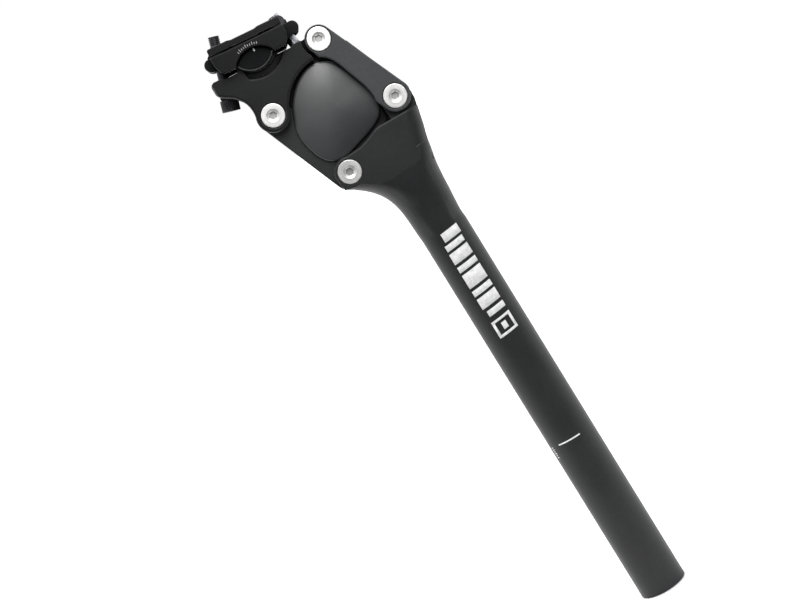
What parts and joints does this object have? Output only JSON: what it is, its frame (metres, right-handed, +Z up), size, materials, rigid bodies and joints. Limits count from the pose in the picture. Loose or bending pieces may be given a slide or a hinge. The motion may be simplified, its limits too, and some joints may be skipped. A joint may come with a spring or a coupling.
{
  "type": "suspension seatpost",
  "caption": "Bicycle seatpost with a parallelogram linkage that lets the saddle clamp move down and back on a spring inside the tube.",
  "frame": {"origin": "on the axis of the round tube, 0.6 mm above its lower end", "axes": "+Z up along the tube, +X to the front of the bicycle, Y across"},
  "size_m": [0.0915, 0.053, 0.3862],
  "materials": {
    "forged_black": "satin black anodised, fine blasted grain",
    "silver_bolt": "satin silver",
    "steel": "ground",
    "black_steel": "black oxide",
    "zinc_steel": "bright zinc",
    "spring_steel": "oiled spring steel",
    "plunger_alloy": "machined",
    "adjuster_alloy": "black anodised",
    "bushing_plastic": "moulded",
    "rubber": "matte",
    "elastomer": "matte",
    "cover_rubber": "matte moulded"
  },
  "bodies": {
    "post": {"post_body": "forged_black", "axle_lower_fork": "steel", "pivot_bolts_fork": "silver_bolt", "upper_link_fork_bushings": "bushing_plastic", "plunger_guide": "bushing_plastic", "plunger_wiper": "rubber", "top_out_bumper": "elastomer"},
    "lower_link": {"lower_link": "forged_black", "lower_link_fork_bushings": "bushing_plastic", "lower_link_head_bushings": "bushing_plastic", "side_cover_left": "cover_rubber", "side_cover_right": "cover_rubber"},
    "upper_link": {"upper_link": "forged_black", "axle_upper_fork": "steel", "axle_upper_head": "steel", "pivot_bolts_upper_link": "silver_bolt", "cam_lever": "forged_black", "roller_pin": "steel"},
    "cam_roller": {"cam_roller": "steel"},
    "head": {"head_casting": "forged_black", "axle_lower_head": "steel", "pivot_bolts_head": "silver_bolt", "upper_link_head_bushings": "bushing_plastic"},
    "saddle_clamp": {"lower_rail_clamp": "forged_black", "upper_rail_clamp": "forged_black"},
    "rear_bolt": {"rear_clamp_bolt": "black_steel", "rear_bolt_washer": "black_steel"},
    "front_bolt": {"front_clamp_bolt": "zinc_steel", "front_bolt_washer": "zinc_steel"},
    "rear_nut": {"rear_barrel_nut": "black_steel"},
    "front_nut": {"front_barrel_nut": "black_steel"},
    "plunger": {"plunger": "plunger_alloy"},
    "preload_adjuster": {"preload_adjuster": "adjuster_alloy", "spring_seat": "bushing_plastic", "elastomer_core": "elastomer", "main_spring": "spring_steel"}
  },
  "joints": [
    {"name": "lower_link_pivot", "type": "hinge", "parent": "post", "child": "lower_link", "pos_m": [-0.0274, 0, 0.2858], "axis": [0, -1, 0], "range_deg": [0, 40], "stiffness_Nm_per_rad": 40, "springref_deg": -14.32, "deforming": ["side_cover_left", "side_cover_right"]},
    {"name": "upper_link_pivot", "type": "hinge", "parent": "post", "child": "upper_link", "pos_m": [0.01422, 0, 0.3072], "axis": [0, -1, 0], "range_deg": [0, 40]},
    {"name": "head_pivot", "type": "hinge", "parent": "lower_link", "child": "head", "pos_m": [-0.04604, 0, 0.3322], "axis": [0, -1, 0], "range_deg": [-40, 0]},
    {"name": "cam_roller_spin", "type": "hinge", "parent": "upper_link", "child": "cam_roller", "pos_m": [0.00012, 0, 0.31233], "axis": [0, -1, 0], "range_deg": [-40, 0]},
    {"name": "plunger_slide", "type": "slide", "parent": "post", "child": "plunger", "axis": [0, 0, -1], "range_m": [0, 0.01026], "deforming": ["main_spring"]},
    {"name": "preload_adjuster_slide", "type": "slide", "parent": "post", "child": "preload_adjuster", "axis": [0, 0, 1], "range_m": [0, 0.01]},
    {"name": "saddle_clamp_tilt", "type": "hinge", "parent": "head", "child": "saddle_clamp", "pos_m": [-0.03906, 0, 0.35526], "axis": [0, -1, 0], "range_deg": [-6, 6]},
    {"name": "rear_bolt_swing", "type": "hinge", "parent": "head", "child": "rear_bolt", "pos_m": [-0.06131, 0, 0.35358], "axis": [0, -1, 0], "range_deg": [-6, 6]},
    {"name": "front_bolt_swing", "type": "hinge", "parent": "head", "child": "front_bolt", "pos_m": [-0.01491, 0, 0.3487], "axis": [0, -1, 0], "range_deg": [-6, 6]},
    {"name": "rear_nut_turn", "type": "hinge", "parent": "saddle_clamp", "child": "rear_nut", "pos_m": [-0.05351, 0, 0.37729], "axis": [0, -1, 0], "range_deg": [-6, 6]},
    {"name": "front_nut_turn", "type": "hinge", "parent": "saddle_clamp", "child": "front_nut", "pos_m": [-0.01783, 0, 0.37354], "axis": [0, -1, 0], "range_deg": [-6, 6]}
  ],
  "couplings": [
    {"joint": "upper_link_pivot", "follows": "lower_link_pivot", "ratio": 1},
    {"joint": "head_pivot", "follows": "lower_link_pivot", "ratio": -1},
    {"joint": "cam_roller_spin", "follows": "lower_link_pivot", "ratio": -0.95},
    {"joint": "plunger_slide", "follows": "lower_link_pivot", "m_per_rad": 0.014697},
    {"joint": "rear_bolt_swing", "follows": "saddle_clamp_tilt", "ratio": 0.65816},
    {"joint": "front_bolt_swing", "follows": "saddle_clamp_tilt", "ratio": 0.62747},
    {"joint": "rear_nut_turn", "follows": "saddle_clamp_tilt", "ratio": -0.34184},
    {"joint": "front_nut_turn", "follows": "saddle_clamp_tilt", "ratio": -0.37253}
  ]
}
